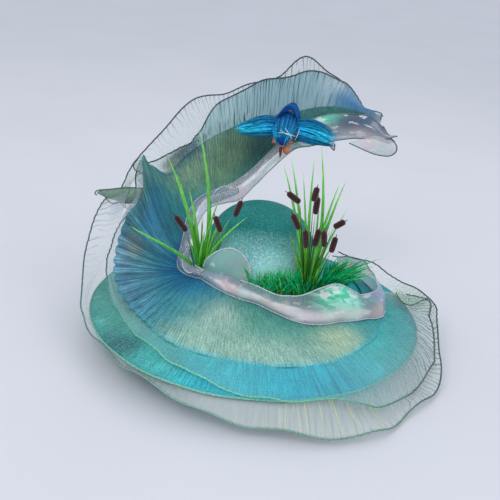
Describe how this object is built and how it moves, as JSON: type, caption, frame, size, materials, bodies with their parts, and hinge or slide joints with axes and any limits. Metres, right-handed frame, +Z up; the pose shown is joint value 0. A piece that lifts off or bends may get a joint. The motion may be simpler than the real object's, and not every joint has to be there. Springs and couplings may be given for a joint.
{
  "type": "wide-brim hat",
  "caption": "Wide-brim occasion hat with a round crown, a pleated strip that rises behind it as a wave, sheer ruffles, reeds, grass and a small raffia bird.",
  "frame": {"origin": "middle of the head opening, level with the foot of the crown", "axes": "+Z up through the crown, -Y towards the front of the hat, +X to the side where the wave ends"},
  "size_m": [0.5813, 0.5644, 0.4009],
  "materials": {
    "crown_straw": "fine woven straw with a sparkle",
    "brim_straw": "fine woven straw with a sparkle",
    "pleated_straw": "pleated woven straw with a sparkle",
    "organza": "sheer pleated organza",
    "iridescent_film": "sheer iridescent ribbon",
    "grass": "matt strands",
    "reed": "satin",
    "cattail": "velvety",
    "raffia": "glossy strands",
    "beak": "satin",
    "breast": "matt"
  },
  "bodies": {
    "root": {"crown": "crown_straw", "brim": "brim_straw", "pleated_strip": "pleated_straw", "upper_ruffle": "organza", "lower_ruffle": "organza", "iridescent_trim": "iridescent_film", "grass_front": "grass", "grass_right": "grass", "grass_left": "grass", "reeds_left": "reed", "reeds_right": "reed", "cattail_left_1": "cattail", "cattail_left_2": "cattail", "cattail_left_3": "cattail", "cattail_right_1": "cattail", "cattail_right_2": "cattail", "cattail_right_3": "cattail", "cattail_right_4": "cattail", "cattail_right_5": "cattail", "cattail_right_6": "cattail", "cattail_right_7": "cattail", "cattail_right_8": "cattail", "cattail_right_9": "cattail", "bird_body": "raffia", "bird_wing_left": "raffia", "bird_wing_right": "raffia", "bird_beak": "beak", "bird_breast": "breast"}
  },
  "joints": []
}
